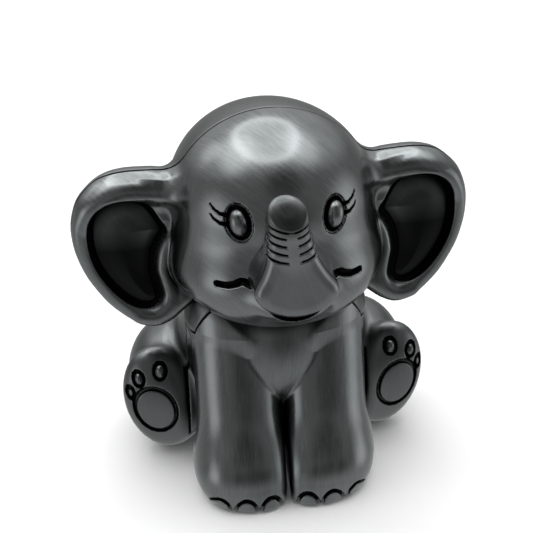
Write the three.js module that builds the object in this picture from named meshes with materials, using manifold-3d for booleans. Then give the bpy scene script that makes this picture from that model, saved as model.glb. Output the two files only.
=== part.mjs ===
// Figural animal coin bank: a sitting baby elephant, hollow zinc castings, 1 unit = 1 mm.
// +Z is up, the elephant faces -Y, the floor is Z = 0, left and right are mirror images about X = 0.
import * as THREE from 'three';
import Module from 'manifold-3d';

// ---------------------------------------------------------------- driving dimensions
const MIDDLE_Y = -5.6325;           // the middle of the depth, moved to Y = 0
const WALL = 2.4;                   // casting wall
const GAP = 0.3;                    // clearance between neighbouring pieces
const OUTER_STEP = 4.2;             // facet size of the outside of the castings
const EAR_STEP = 2.6;
const INNER_STEP = 5.6;             // facet size of the inside of the castings
const TRUNK_STEP = 2.1;
const EASE = 0.08;                  // facets that differ by less than this are merged

const SOLE_Z = 0.8;                 // underside of the castings, above the foot pads
const FLOOR_Z = 7.0;                // top of the thick floor that carries the base plate
const NECK = { y: -3, bore: 13.6, collar: 15.2, hole: 15.5, bottom: 44, top: 60 };
const SLOT = { width: 33, height: 4.6, z: 88 };
const SKULL_DEPTH = 1.22; // how much deeper the back half of the head is than the front half

const BASE = { y: 10, recess: 21.5, plate: 21.2, ledge: 16.8, bottom: 2.5, top: 3.9, ledgeZ: 4.2 };
const SCREW = { ring: 19, head: 1.7, shank: 0.9, hole: 1.2, bottom: 1.2, under: 2.2, tip: 6.0 };
const PLUG = { boss: 10.7, hole: 11.0, flange: 13.6, bottom: 0.3, flangeTop: 1.1, top: 5.6 };
const LUG = { reach: 13.0, notch: 13.4, half: 22, clear: 26, bottom: 4.2 };
const SEAL = { inner: 11.2, outer: 13.4, bottom: 1.4, top: 2.2 };
const PAD = { radius: 4, pocket: 4.3, thick: 1.2, depth: 1.5, front: [13, -26], rear: [29, 13] };

// seam of the head in the Y-Z plane: a plane leaning back towards the top
const HEAD_SEAM = { y: -3.6, z: 80, slope: 0.18 };
// seam of the body in the Y-Z plane, from the neck down, with a pointed shoulder tongue
const BODY_SEAM = [[-24, 75], [-17, 55], [-12.3, 46], [-7, 47.5], [-5, 44], [-4, -10]];
const CHEST_HALF = 27.2;            // the front casting reaches this far out from the middle

// ears: outline and sunken panel as seen from the front (X, Z)
const EAR_OUTLINE = [
  [18, 88], [26, 92.6], [35.8, 94], [44.7, 93.7], [52, 89.6], [56.4, 82.5],
  [56.9, 74], [54, 64.6], [48.5, 56.4], [41.8, 50.6], [35.3, 48.5], [27, 53], [19, 68],
];
const EAR_PANEL = [
  [42.2, 87.4], [49.8, 84.4], [52.4, 77.5], [51.2, 68.5], [46.8, 61], [40.3, 55.6],
  [34.9, 55.6], [34.3, 61], [34.8, 68.5], [31.2, 76.8], [36, 85.2],
];
// the flat underside of the raised trunk, right half as seen from the front (X, Z)
const TRUNK_UNDERSIDE = [
  [-5, 95.5], [0, 96.5], [5, 95], [6, 88], [7.6, 81.5], [9.4, 77], [10.9, 73.4], [8.6, 69.2], [0, 67], [-8, 69],
];
const EAR = { y: -3.6, z: 80, x: 40, leanZ: 0.18, leanX: 0.04, rim: 3.3, slab: 2.9 };

// ---------------------------------------------------------------- distance functions
const hypot = Math.hypot;

function ellipsoid(p, c, r) {
  const x = (p[0] - c[0]) / r[0];
  const y = (p[1] - c[1]) / r[1];
  const z = (p[2] - c[2]) / r[2];
  const k0 = hypot(x, y, z);
  const k1 = hypot(x / r[0], y / r[1], z / r[2]) + 1e-9;
  return (k0 * (k0 - 1)) / k1;
}

function roundCone(p, a, b, ra, rb) {
  const d = [b[0] - a[0], b[1] - a[1], b[2] - a[2]];
  const q = [p[0] - a[0], p[1] - a[1], p[2] - a[2]];
  const along = (q[0] * d[0] + q[1] * d[1] + q[2] * d[2]) / (d[0] ** 2 + d[1] ** 2 + d[2] ** 2);
  const t = Math.min(1, Math.max(0, along));
  return hypot(q[0] - d[0] * t, q[1] - d[1] * t, q[2] - d[2] * t) - (ra + (rb - ra) * t);
}

function roundBox(p, c, half, r) {
  const q = [0, 1, 2].map((k) => Math.abs(p[k] - c[k]) - half[k] + r);
  const outside = hypot(Math.max(q[0], 0), Math.max(q[1], 0), Math.max(q[2], 0));
  return outside + Math.min(Math.max(q[0], q[1], q[2]), 0) - r;
}

function blend(a, b, k) {
  const h = Math.max(k - Math.abs(a - b), 0) / k;
  return Math.min(a, b) - h * h * k * 0.25;
}

const meet = (a, b, k) => -blend(-a, -b, k);      // where a and b overlap, rounded by k
const carve = (a, b, k) => meet(a, -b, k);        // a with b taken away, rounded by k

function outlineDistance(points) {
  const curve = new THREE.SplineCurve([...points, points[0]].map(([x, z]) => new THREE.Vector2(x, z)));
  const ring = curve.getPoints(points.length * 4).slice(0, -1);
  return (x, z) => {
    let best = Infinity;
    let inside = false;
    for (let i = 0; i < ring.length; i += 1) {
      const a = ring[i];
      const b = ring[(i + 1) % ring.length];
      const ex = b.x - a.x;
      const ez = b.y - a.y;
      const t = Math.min(1, Math.max(0, ((x - a.x) * ex + (z - a.y) * ez) / (ex * ex + ez * ez)));
      best = Math.min(best, hypot(x - a.x - ex * t, z - a.y - ez * t));
      if (a.y > z !== b.y > z && x < a.x + ((z - a.y) * ex) / ez) inside = !inside;
    }
    return inside ? -best : best;
  };
}

const earOutline = outlineDistance(EAR_OUTLINE);
const earPanel = outlineDistance(EAR_PANEL);
const underside = outlineDistance(TRUNK_UNDERSIDE);
const mirrored = (p) => [Math.abs(p[0]), p[1], p[2]];

// one ear: a rolled rim round a slab, with a sunken domed panel on the front
function ear(p) {
  const [x, y, z] = mirrored(p);
  if (x < 14 || hypot(x - 38, z - 72) > 34) return 12;
  const edge = earOutline(x, z);
  const panel = earPanel(x, z);
  const depth = y - (EAR.y + EAR.leanZ * (z - EAR.z) + EAR.leanX * (x - EAR.x));
  const rim = hypot(edge + EAR.rim, depth) - EAR.rim;
  const slab = Math.max(edge + 2.2, Math.abs(depth) - EAR.slab);
  const body = blend(rim, slab, 2);
  const face = 1.9 + 0.9 * Math.min(1, Math.max(0, -panel / 6));
  const sunk = Math.max(panel, depth + face);
  return carve(body, sunk, 0.5);
}

function skull(p) {
  const deep = p[1] > -2 ? (p[1] + 2) / SKULL_DEPTH - 2 : p[1];
  const cranium = ellipsoid([p[0], deep, p[2]], [0, -2, 83], [29.3, 30.3, 26.2]);
  const cheeks = ellipsoid(p, [0, -8, 67.5], [30.8, 26, 16.8]);
  const jaw = ellipsoid(p, [0, -21, 66.6], [23.5, 15, 13.6]);
  return blend(blend(cranium, cheeks, 7), jaw, 5);
}

const lip = (p) => ellipsoid(p, [0, -33, 66.6], [11.5, 8.2, 5.8]);
const muzzle = (p) => blend(skull(p), lip(p), 2);
const head = (p) => blend(muzzle(p), ear(p), 0.8);

function trunk(p) {
  const [x, y, z] = mirrored(p);
  const root = ellipsoid(p, [0, -32.5, 72.6], [11.9, 9.6, 9]);
  const rise = roundCone(p, [0, -34, 76], [0, -38.6, 85], 8, 5.8);
  const reach = roundCone(p, [0, -38.6, 85], [0, -41.6, 93.4], 5.8, 5.2);
  const tip = roundCone(p, [0, -41.6, 93.4], [0, -44.4, 96.8], 5.2, 5.2);
  const front = meet(underside(x, z), Math.abs(y + 40.6) - 3.9, 2);
  const whole = blend(blend(blend(root, rise, 4), blend(reach, tip, 3), 3), front, 2);
  const nostrils = (z - 96.8) * 0.69 - (y + 44.4) * 0.72 - 1.2;
  return meet(whole, nostrils, 1);
}

function body(p) {
  const q = mirrored(p);
  const back = ellipsoid(p, [0, 9, 30], [28.5, 27, 33]);
  const seat = ellipsoid(p, [0, 12, 16], [32, 24, 19]);
  const chest = ellipsoid(p, [0, 2, 40], [26.6, 26.2, 27]);
  const column = roundCone(q, [13, -9, 45], [13.2, -19.5, 14], 13, 12.2);
  const foot = roundBox(q, [13, -24, 8.6], [12.1, 17.6, 8.6], 8);
  const leg = Math.max(blend(column, foot, 9), 1.3 - q[0]);
  const thigh = ellipsoid(q, [28.5, 13, 18], [15, 19, 18.5]);
  const sole = ellipsoid(q, [33.6, 0.4, 18], [12.3, 7.4, 17.6]);
  const rear = blend(blend(back, seat, 8), blend(thigh, sole, 3), 2.5);
  const whole = blend(blend(rear, chest, 5), leg, 1);
  return Math.max(whole, SOLE_Z - p[2]);
}

const bodyOutside = (p) => meet(body(p), GAP + 0.05 - head(p), 1);
const bodyInside = (p) => Math.max(meet(body(p) + WALL, GAP + WALL - head(p), 8), FLOOR_Z - p[2]);
const headInside = (p) => skull(p) + WALL;
const trunkOutside = (p) => meet(trunk(p), GAP + 0.05 - muzzle(p), 1.5);

// ---------------------------------------------------------------- distance function to facets
function slopeOf(field, p) {
  const e = 0.05;
  return [0, 1, 2].map((k) => {
    const a = [...p];
    const b = [...p];
    a[k] += e;
    b[k] -= e;
    return (field(a) - field(b)) / (2 * e);
  });
}

// pulls a facet corner onto the surface, at most half a cell away from where it started
function settle(field, start, step) {
  let p = start;
  for (let pass = 0; pass < 3; pass += 1) {
    const d = field(p);
    const g = slopeOf(field, p);
    const g2 = Math.max(g[0] ** 2 + g[1] ** 2 + g[2] ** 2, 0.2);
    p = p.map((v, k) => v - (d * g[k]) / g2);
  }
  return p.map((v, k) => Math.min(start[k] + step / 2, Math.max(start[k] - step / 2, v)));
}

function facet(field, low, high, step) {
  const half = Math.ceil(high[0] / step) + 1;
  const count = [2 * half + 1, 0, 0];
  const origin = [-half * step, low[1] - step, low[2] - step];
  for (const k of [1, 2]) count[k] = Math.ceil((high[k] - low[k]) / step) + 3;
  const index = (i, j, k) => (k * count[1] + j) * count[0] + i;
  const at = (i, j, k) => [origin[0] + i * step, origin[1] + j * step, origin[2] + k * step];
  const value = new Float64Array(count[0] * count[1] * count[2]);
  for (let k = 0; k < count[2]; k += 1) {
    for (let j = 0; j < count[1]; j += 1) {
      for (let i = 0; i < count[0]; i += 1) value[index(i, j, k)] = field(at(i, j, k)) + 1e-6;
    }
  }
  const corner = new Map();
  const position = [];
  const cellVertex = (i, j, k) => {
    const key = index(i, j, k);
    if (corner.has(key)) return corner.get(key);
    const sum = [0, 0, 0];
    let hits = 0;
    for (let axis = 0; axis < 3; axis += 1) {
      for (let n = 0; n < 4; n += 1) {
        const a = [i, j, k];
        a[(axis + 1) % 3] += n & 1;
        a[(axis + 2) % 3] += n >> 1;
        const b = [...a];
        b[axis] += 1;
        const va = value[index(...a)];
        const vb = value[index(...b)];
        if (va < 0 === vb < 0) continue;
        const t = va / (va - vb);
        const pa = at(...a);
        pa[axis] += t * step;
        pa.forEach((v, m) => { sum[m] += v; });
        hits += 1;
      }
    }
    const p = settle(field, sum.map((v) => v / hits), step);
    corner.set(key, position.length / 3);
    position.push(...p);
    return corner.get(key);
  };
  const triangles = [];
  for (let k = 1; k < count[2] - 1; k += 1) {
    for (let j = 1; j < count[1] - 1; j += 1) {
      for (let i = 1; i < count[0] - 1; i += 1) {
        for (let axis = 0; axis < 3; axis += 1) {
          const b = [i, j, k];
          b[axis] += 1;
          const va = value[index(i, j, k)];
          const vb = value[index(...b)];
          if (va < 0 === vb < 0) continue;
          const quad = [[0, 0], [1, 0], [1, 1], [0, 1]].map(([u, v]) => {
            const cell = [i, j, k];
            cell[(axis + 1) % 3] -= u;
            cell[(axis + 2) % 3] -= v;
            return cellVertex(...cell);
          });
          if (va > 0) quad.reverse();
          triangles.push(quad[0], quad[1], quad[2], quad[0], quad[2], quad[3]);
        }
      }
    }
  }
  const geometry = new THREE.BufferGeometry();
  geometry.setAttribute('position', new THREE.Float32BufferAttribute(position, 3));
  geometry.setIndex(triangles);
  return geometry;
}

// ---------------------------------------------------------------- joining and cutting
const wasm = await Module();
wasm.setup();

function solid(geometry) {
  const positions = geometry.attributes.position;
  const order = geometry.index ? geometry.index.array : [...Array(positions.count).keys()];
  const seen = new Map();
  const vertices = [];
  const remap = [];
  for (let i = 0; i < positions.count; i += 1) {
    const p = [positions.getX(i), positions.getY(i), positions.getZ(i)];
    const key = p.map((v) => Math.round(v * 1e4)).join();
    if (!seen.has(key)) {
      seen.set(key, vertices.length / 3);
      vertices.push(...p);
    }
    remap.push(seen.get(key));
  }
  const triangles = [];
  for (let i = 0; i < order.length; i += 3) {
    const [a, b, c] = [remap[order[i]], remap[order[i + 1]], remap[order[i + 2]]];
    if (a !== b && b !== c && c !== a) triangles.push(a, b, c);
  }
  const mesh = new wasm.Mesh({
    numProp: 3,
    vertProperties: new Float32Array(vertices),
    triVerts: new Uint32Array(triangles),
  });
  return new wasm.Manifold(mesh);
}

function toGeometry(manifold) {
  const mesh = manifold.asOriginal().simplify(EASE).getMesh();
  const geometry = new THREE.BufferGeometry();
  const points = [];
  for (let i = 0; i < mesh.vertProperties.length; i += mesh.numProp) {
    points.push(mesh.vertProperties[i], mesh.vertProperties[i + 1] - MIDDLE_Y, mesh.vertProperties[i + 2]);
  }
  geometry.setAttribute('position', new THREE.Float32BufferAttribute(points, 3));
  geometry.setIndex([...mesh.triVerts]);
  geometry.computeVertexNormals();
  return geometry;
}

// a turned shape about a vertical axis at (x, y); profile is [radius, z] from bottom to top
function turned(profile, x, y, segments = 32) {
  const points = profile.map(([r, z]) => new THREE.Vector2(r, z));
  const geometry = new THREE.LatheGeometry(points, segments);
  geometry.rotateX(Math.PI / 2);
  geometry.translate(x, y, 0);
  return solid(geometry);
}

const disc = (r, z0, z1, x, y, segments) => turned([[0, z0], [r, z0], [r, z1], [0, z1]], x, y, segments);
const ring = (ri, ro, z0, z1, x, y, segments) => (
  turned([[ri, z0], [ro, z0], [ro, z1], [ri, z1], [ri, z0]], x, y, segments)
);

// a flat shape in the Y-Z plane pushed along X from -reach to reach
function slabX(points, reach) {
  const shape = new THREE.Shape(points.map(([y, z]) => new THREE.Vector2(y, z)));
  const geometry = new THREE.ExtrudeGeometry(shape, { depth: 2 * reach, bevelEnabled: false });
  geometry.applyMatrix4(new THREE.Matrix4().makeBasis(
    new THREE.Vector3(0, 1, 0), new THREE.Vector3(0, 0, 1), new THREE.Vector3(1, 0, 0),
  ));
  geometry.translate(-reach, 0, 0);
  return solid(geometry);
}

function block(low, high) {
  const size = high.map((v, k) => v - low[k]);
  const geometry = new THREE.BoxGeometry(...size);
  geometry.translate(...low.map((v, k) => v + size[k] / 2));
  return solid(geometry);
}

function egg(centre, radii, turn = 0, segments = 14) {
  const geometry = new THREE.SphereGeometry(1, segments, Math.round(segments * 0.7));
  geometry.scale(...radii);
  geometry.rotateY(turn);
  geometry.translate(...centre);
  return solid(geometry);
}

const bothSides = (make) => make(1).add(make(-1));

// ---------------------------------------------------------------- head castings
const headSeamY = (z) => HEAD_SEAM.y + HEAD_SEAM.slope * (z - HEAD_SEAM.z);
const headBounds = [[-60, -45, 46], [60, 40, 112]];
const eyes = bothSides((s) => egg([s * 13.1, -28.6, 87.8], [2.7, 3.2, 3.9]));
const neckHole = disc(NECK.hole, 36, 64, 0, NECK.y, 40);
const slotCut = block([-SLOT.width / 2, 8, SLOT.z - SLOT.height / 2],
  [SLOT.width / 2, 44, SLOT.z + SLOT.height / 2]);
const trunkSpigot = (r, y0, y1) => {
  const geometry = new THREE.CylinderGeometry(r, r, y1 - y0, 20);
  geometry.translate(0, (y0 + y1) / 2, 0);
  geometry.translate(0, 0, 74);
  return solid(geometry);
};

const mouthPath = new THREE.CatmullRomCurve3([
  new THREE.Vector3(7, -38, 69), new THREE.Vector3(12.5, -34.5, 69.2),
  new THREE.Vector3(17, -31, 69.2), new THREE.Vector3(20.6, -28.4, 70.6),
]);
const mouthRound = new THREE.Shape().absarc(0, 0, 1.3, 0, 2 * Math.PI);
const mouthGeometry = new THREE.ExtrudeGeometry(mouthRound, {
  steps: 8, curveSegments: 5, extrudePath: mouthPath, bevelEnabled: false,
});
const mouthRight = solid(mouthGeometry);
const mouth = mouthRight.add(mouthRight.mirror([1, 0, 0]));

const headSolid = solid(facet(muzzle, ...headBounds, OUTER_STEP))
  .add(solid(facet(ear, [-60, -20, 45], [60, 8, 98], EAR_STEP)))
  .add(eyes)
  .subtract(mouth)
  .subtract(solid(facet(headInside, ...headBounds, INNER_STEP)))
  .subtract(neckHole);
const headSeam = (offset) => [[headSeamY(30) + offset, 30], [headSeamY(130) + offset, 130]];
const headFront = headSolid
  .intersect(slabX([[-90, 30], ...headSeam(0), [-90, 130]], 80))
  .subtract(trunkSpigot(3.3, -40, -20));
const headBack = headSolid
  .intersect(slabX([headSeam(GAP)[0], [90, 30], [90, 130], headSeam(GAP)[1]], 80))
  .subtract(slotCut);

// ---------------------------------------------------------------- body castings
const bodyBounds = [[-50, -46, 0], [50, 40, 70]];
const pads = [
  ['front_left', -PAD.front[0], PAD.front[1]], ['front_right', PAD.front[0], PAD.front[1]],
  ['rear_left', -PAD.rear[0], PAD.rear[1]], ['rear_right', PAD.rear[0], PAD.rear[1]],
];
const screwSpots = [45, 135, 225, 315].map((a) => [
  SCREW.ring * Math.cos((a * Math.PI) / 180), BASE.y + SCREW.ring * Math.sin((a * Math.PI) / 180),
]);
const solePads = bothSides((s) => egg([s * 36.6, -4.6, 15.9], [6, 3, 6.8], s * 0.3)
  .add(egg([s * 35, -4.4, 29], [3, 2.6, 2.5]))
  .add(egg([s * 41, -3, 26.6], [2.6, 2.6, 2.9])));

let bodySolid = solid(facet(bodyOutside, ...bodyBounds, OUTER_STEP))
  .add(solePads)
  .subtract(solid(facet(bodyInside, ...bodyBounds, INNER_STEP)))
  .subtract(neckHole)
  .subtract(disc(BASE.recess, -1, BASE.ledgeZ, 0, BASE.y, 40))
  .subtract(disc(BASE.ledge, -1, 12, 0, BASE.y, 40));
for (const [x, y] of screwSpots) bodySolid = bodySolid.subtract(disc(SCREW.hole, 3, 6.3, x, y, 12));
for (const [, x, y] of pads) bodySolid = bodySolid.subtract(disc(PAD.pocket, -1, PAD.depth, x, y, 20));

const seamFront = slabX([[-90, -10], ...[...BODY_SEAM].reverse(), [-90, 75]], CHEST_HALF);
const seamBack = slabX([[-90, -10], ...BODY_SEAM.map(([y, z]) => [y + GAP, z + GAP]).reverse(), [-90, 76]],
  CHEST_HALF + GAP);
const bodyFront = bodySolid.intersect(seamFront);
const bodyBack = bodySolid.subtract(seamBack);

// ---------------------------------------------------------------- trunk casting
const trunkSolid = solid(facet(trunkOutside, [-14, -52, 60], [14, -22, 104], TRUNK_STEP))
  .add(trunkSpigot(3.0, -38, -25.5));

// ---------------------------------------------------------------- neck collar, base plate, stopper
const collar = ring(NECK.bore, NECK.collar, NECK.bottom, NECK.top, 0, NECK.y, 40);

function sector(inner, outer, z0, z1, halfAngle) {
  const shape = new THREE.Shape();
  const half = (halfAngle * Math.PI) / 180;
  shape.absarc(0, 0, outer, -half, half, false);
  shape.absarc(0, 0, inner, half, -half, true);
  const geometry = new THREE.ExtrudeGeometry(shape, { depth: z1 - z0, bevelEnabled: false, curveSegments: 8 });
  geometry.translate(0, 0, z0);
  const one = solid(geometry);
  return one.add(one.rotate([0, 0, 180])).translate([0, BASE.y, 0]);
}

let basePlate = ring(PLUG.hole, BASE.plate, BASE.bottom, BASE.top, 0, BASE.y, 40)
  .subtract(sector(9, LUG.notch, BASE.bottom - 1, BASE.top + 1, LUG.clear));
for (const [x, y] of screwSpots) basePlate = basePlate.subtract(disc(SCREW.hole, 1, 6, x, y, 12));

const coinGrip = block([-9, BASE.y - 1.2, -1], [9, BASE.y + 1.2, 2.4]);
const stopper = disc(PLUG.flange, PLUG.bottom, PLUG.flangeTop, 0, BASE.y, 40)
  .add(disc(PLUG.boss, PLUG.bottom + 0.1, PLUG.top, 0, BASE.y, 40))
  .add(sector(9, LUG.reach, LUG.bottom, PLUG.top, LUG.half))
  .subtract(disc(PLUG.boss - 2, 3.6, 12, 0, BASE.y, 32))
  .subtract(coinGrip);
const seal = ring(SEAL.inner, SEAL.outer, SEAL.bottom, SEAL.top, 0, BASE.y, 40);

function baseScrew(x, y) {
  const { head: r, shank, bottom, under, tip } = SCREW;
  const profile = [[0, bottom], [r * 0.75, bottom], [r, bottom + 0.35], [r, under], [shank, under],
    [shank, tip - 0.5], [shank * 0.4, tip], [0, tip]];
  return turned(profile, x, y, 14).subtract(block([x - 1.2, y - 0.2, 0], [x + 1.2, y + 0.2, bottom + 0.35]));
}

// ---------------------------------------------------------------- assembly
const bank = new THREE.Group();
bank.name = 'elephant_coin_bank';

function add(name, manifold, colour, roughness, metalness) {
  const material = new THREE.MeshStandardMaterial({ color: colour, roughness, metalness });
  material.name = `${name}_material`;
  const mesh = new THREE.Mesh(toGeometry(manifold), material);
  mesh.name = name;
  bank.add(mesh);
}

add('head_front_shell', headFront, '#4c4f4e', 0.34, 1);
add('head_back_shell', headBack, '#565858', 0.42, 1);
add('body_front_shell', bodyFront, '#4a4d4c', 0.36, 1);
add('body_back_shell', bodyBack, '#4e5050', 0.42, 1);
add('trunk', trunkSolid, '#505352', 0.34, 1);
add('neck_collar', collar, '#6b6d6c', 0.5, 1);
add('base_plate', basePlate, '#3c3e3e', 0.5, 1);
add('stopper', stopper, '#45484a', 0.45, 1);
add('stopper_seal', seal, '#141414', 0.85, 0);
screwSpots.forEach(([x, y], i) => add(`base_screw_${i + 1}`, baseScrew(x, y), '#8a8c8e', 0.35, 1));
for (const [where, x, y] of pads) {
  add(`foot_pad_${where}`, disc(PAD.radius, 0, PAD.thick, x, y, 20), '#1a1a1b', 0.9, 0);
}

export default bank;
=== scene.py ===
import math
import bpy
import numpy as np
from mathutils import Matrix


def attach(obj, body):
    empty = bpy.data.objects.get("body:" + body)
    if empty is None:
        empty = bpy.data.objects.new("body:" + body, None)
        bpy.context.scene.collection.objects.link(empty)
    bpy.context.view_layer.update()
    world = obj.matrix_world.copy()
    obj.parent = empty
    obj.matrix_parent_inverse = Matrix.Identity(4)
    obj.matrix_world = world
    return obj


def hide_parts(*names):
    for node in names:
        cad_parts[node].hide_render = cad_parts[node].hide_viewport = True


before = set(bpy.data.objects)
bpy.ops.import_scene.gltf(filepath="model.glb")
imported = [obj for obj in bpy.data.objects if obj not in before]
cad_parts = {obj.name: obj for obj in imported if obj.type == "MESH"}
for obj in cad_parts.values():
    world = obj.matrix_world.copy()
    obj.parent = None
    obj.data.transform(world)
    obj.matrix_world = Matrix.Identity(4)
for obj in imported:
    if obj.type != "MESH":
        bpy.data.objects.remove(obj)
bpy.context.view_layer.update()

import openvdb
from mathutils import Matrix, Vector

MM = 0.001
MIDDLE_Y = -5.6325                 # shapes below are modelled in mm, with the bank's middle at this Y
F32 = np.float32

# ------------------------------------------------------------------ sizes, in mm
WALL = 2.4
GAP = 0.28
SOLE_Z = 0.8
FLOOR_Z = 7.0
NECK_Y, NECK_HOLE = -3.0, 15.5
SLOT_HALF_WIDTH, SLOT_HALF_HEIGHT, SLOT_Z = 16.5, 2.3, 88.0
BASE_Y, BASE_RECESS, BASE_LEDGE, LEDGE_Z = 10.0, 21.5, 16.8, 4.2
SCREW_RING, SCREW_HOLE, SCREW_DEPTH = 19.0, 1.2, 6.3
PAD_SPOTS = ((13, -26), (29, 13))
PAD_POCKET, PAD_DEPTH = 4.3, 1.5
HEAD_SEAM_Y, HEAD_SEAM_Z, HEAD_SEAM_SLOPE = -3.6, 80.0, 0.18
CROWN_SWING = 3.6                  # how far forward the seam runs over the crown
CHEST_HALF = 27.2
SEAM_ROUNDING = 0.5
SPIGOT_Z, SPIGOT, SPIGOT_HOLE = 74, 3.0, 3.3

# ellipsoids: centre and radii
CRANIUM = ((0, -2, 83), (29.3, 30.3, 26.2))
BACK_OF_SKULL = 0.82               # the skull is longer by the inverse of this behind its middle
CHEEKS = ((0, -8, 67.5), (30.8, 26, 16.8))
JAW = ((0, -21, 66.6), (23.5, 15, 13.6))
LIP = ((0, -33.4, 65.8), (10.5, 8.8, 5.6))
TRUNK_ROOT = ((0, -32.5, 72.6), (11.9, 9.6, 9))
BACK = ((0, 9, 30), (28.5, 27, 33))
RUMP = ((0, 12, 16), (32, 24, 19))
CHEST = ((0, 2, 40), (26.6, 26.2, 27))
CHEST_PANEL = ((0, -3.5, 38), (18, 22, 24))
THIGH = ((28.5, 13, 18), (15, 19, 18.5))
HIND_FOOT = ((34.2, 0.2, 18.0), (11.6, 7.4, 17.6))
HIND_FOOT_TURN = 0.2

# points along the trunk, and its radius at each
TRUNK_LOW, TRUNK_BEND = (0, -34, 76), (0, -38.6, 85)
TRUNK_NECK, TRUNK_TIP = (0, -41.6, 93.4), (0, -44.2, 96.6)
TRUNK_RADII = (8, 5.4, 4.6, 5.3)
TRUNK_LEAN, TRUNK_LEAN_Z = 0.10, 72
TIP_UP, TIP_OUT = 0.69, 0.72       # direction in which the flat end of the trunk looks
NOSTRIL = 4.5
WRINKLES, WRINKLE_TOP, WRINKLE_STEP = 5, 92.0, 2.45

# front legs: a tapered column, a box that fills the inside, and a foot
LEG_TOP, LEG_BOTTOM, LEG_RADII = (12.6, -5.5, 51), (12.9, -24.0, 9), (13.2, 11.7)
LEG_INSIDE, LEG_INSIDE_HALF, LEG_INSIDE_EDGE = (8.6, 0, 16), (7.8, 10.2, 26), 7.4
FOOT, FOOT_HALF, FOOT_EDGE = (12.1, -22.6, 7.6), (11.3, 14.2, 7.6), 7.0
LEG_SHIFT = 2.9                    # the feet stand this far to one side of the middle
TOES, TOE_HEIGHT, TOE_END_Y = ((5.4, 3.1), (12.6, 3.3), (20.0, 3.1)), 4.9, -32.6

EAR_RIM, EAR_RIM_SWELL = 3.1, 1.9  # radius of the rolled rim, and how much more it has at the top
EAR_TOP_FLAT = 0.28                # how much deeper than high the rim is at the top
EAR_TRENCH, EAR_TRENCH_HALF = -0.4, 0.65

# outlines seen from the front (X, Z)
EAR_OUTLINE = (
    (20, 91), (26, 92.6), (31, 93.3), (35.8, 94), (40.4, 94.3), (44.7, 93.7), (48.6, 92.2), (52, 89.6),
    (54.8, 86.4), (56.4, 82.5), (57.1, 78.6), (56.9, 74), (55.9, 69.5), (54, 64.6), (51.4, 60.3),
    (48.5, 56.4), (45.2, 53.2), (41.8, 50.6), (38.4, 49), (35.3, 48.5), (32.2, 49.3), (28, 52),
    (20, 60), (18, 75),
)
EAR_PANEL = (
    (42.2, 87.4), (46.5, 86.6), (49.8, 84.4), (51.8, 81), (52.4, 77.5), (52.3, 73), (51.2, 68.5),
    (49.3, 64.6), (46.8, 61), (43.7, 57.8), (40.3, 55.6), (37.2, 54.9), (34.9, 55.6), (33.8, 57.8),
    (34.3, 61), (35.1, 64.8),
    (34.8, 68.5), (34, 71.5), (32.6, 74.3), (31, 76.8), (32, 79.5), (33.8, 82.5), (36, 85.2), (39, 86.8),
)
TRUNK_UNDERSIDE = (
    (-5, 95.5), (0, 96.5), (4.2, 95), (4.8, 91), (5.7, 86.5), (7.1, 81.8), (8.9, 77.8), (11.2, 74.0),
    (11.1, 71.0), (8.4, 67.9), (4.4, 66.0), (0, 65.3), (-6, 66),
)
# the front body casting seen from the side (Y, Z)
BODY_FRONT = (
    (-90, -20), (-3.5, -20), (-3.5, 41), (-2.1, 43.9), (-13.8, 46.8), (-15.7, 53), (-17.5, 60),
    (-24, 75), (-90, 75),
)


# ------------------------------------------------------------------ distance functions, on arrays of points
def ellipsoid(p, centre, radii):
    x, y, z = ((p[k] - centre[k]) / radii[k] for k in range(3))
    near = np.sqrt(x * x + y * y + z * z)
    slope = np.sqrt((x / radii[0]) ** 2 + (y / radii[1]) ** 2 + (z / radii[2]) ** 2) + 1e-9
    return near * (near - 1) / slope


def cone(p, a, b, ra, rb):
    d = [b[k] - a[k] for k in range(3)]
    q = [p[k] - a[k] for k in range(3)]
    t = np.clip((q[0] * d[0] + q[1] * d[1] + q[2] * d[2]) / sum(v * v for v in d), 0, 1)
    return np.sqrt(sum((q[k] - d[k] * t) ** 2 for k in range(3))) - (ra + (rb - ra) * t)


def round_box(p, centre, half, r):
    q = [np.abs(p[k] - centre[k]) - half[k] + r for k in range(3)]
    outside = np.sqrt(sum(np.maximum(v, 0) ** 2 for v in q))
    return outside + np.minimum(np.maximum(np.maximum(q[0], q[1]), q[2]), 0) - r


def smooth(t):
    """0 to 1 with a soft start and end."""
    t = np.clip(t, 0, 1)
    return t * t * (3 - 2 * t)


def join(a, b, k):
    """Union with a fillet of about k."""
    h = np.maximum(k - np.abs(a - b), 0) / k
    return np.minimum(a, b) - h * h * k * 0.25


def meet(a, b, k):
    """Intersection with a rounded edge of about k."""
    return -join(-a, -b, k)


def carve(a, b, k):
    """a with b cut away."""
    return meet(a, -b, k)


def spline_ring(points, steps):
    """Closed Catmull-Rom curve through the points."""
    p = np.array(points, float)
    before, after, later = np.roll(p, 1, 0), np.roll(p, -1, 0), np.roll(p, -2, 0)
    rows = []
    for t in np.arange(steps) / steps:
        rows.append(0.5 * (2 * p + (after - before) * t + (2 * before - 5 * p + 4 * after - later) * t * t
                           + (3 * p - before - 3 * after + later) * t ** 3))
    return np.stack(rows, 1).reshape(-1, 2)


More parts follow.
